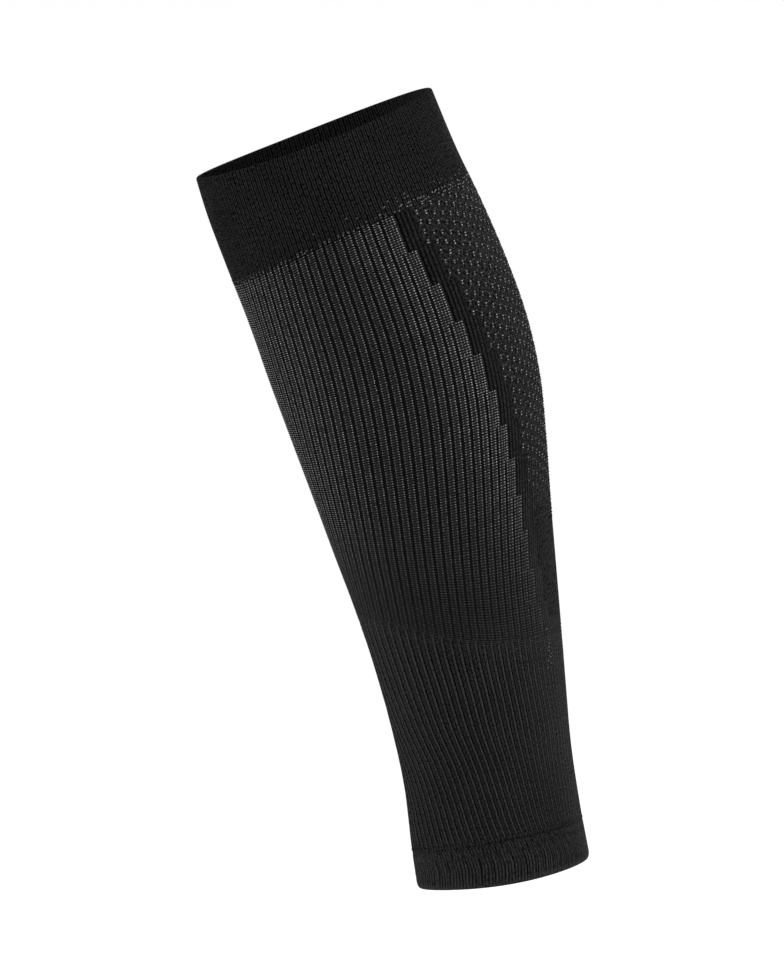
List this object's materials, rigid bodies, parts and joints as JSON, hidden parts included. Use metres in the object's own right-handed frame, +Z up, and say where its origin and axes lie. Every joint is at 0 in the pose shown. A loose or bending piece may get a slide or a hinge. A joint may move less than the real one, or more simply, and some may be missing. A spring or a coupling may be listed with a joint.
{
  "type": "calf compression sleeve",
  "caption": "Footless knitted tube for the lower leg: ribbed cuff, ladder-knit shin, honeycomb calf panel with stepped border, plain ankle part and turned hem.",
  "frame": {"origin": "middle of the ankle opening, on the axis of the leg that wears the sleeve", "axes": "+Z up the leg towards the knee, -Y towards the shin, +Y towards the calf muscle, +X the side that the picture shows"},
  "size_m": [0.1136, 0.1276, 0.3518],
  "materials": {
    "cuff_knit": "fine matt rib",
    "shin_knit": "matt ladder rib with pale stitches",
    "calf_knit": "matt honeycomb knit with pale stitches",
    "border_knit": "matt deep rib",
    "ankle_knit": "matt fine rib",
    "hem_knit": "matt turned edge"
  },
  "bodies": {
    "root": {"cuff": "cuff_knit", "shin_panel": "shin_knit", "calf_panel": "calf_knit", "stepped_border": "border_knit", "ankle_section": "ankle_knit", "hem": "hem_knit"}
  },
  "joints": []
}
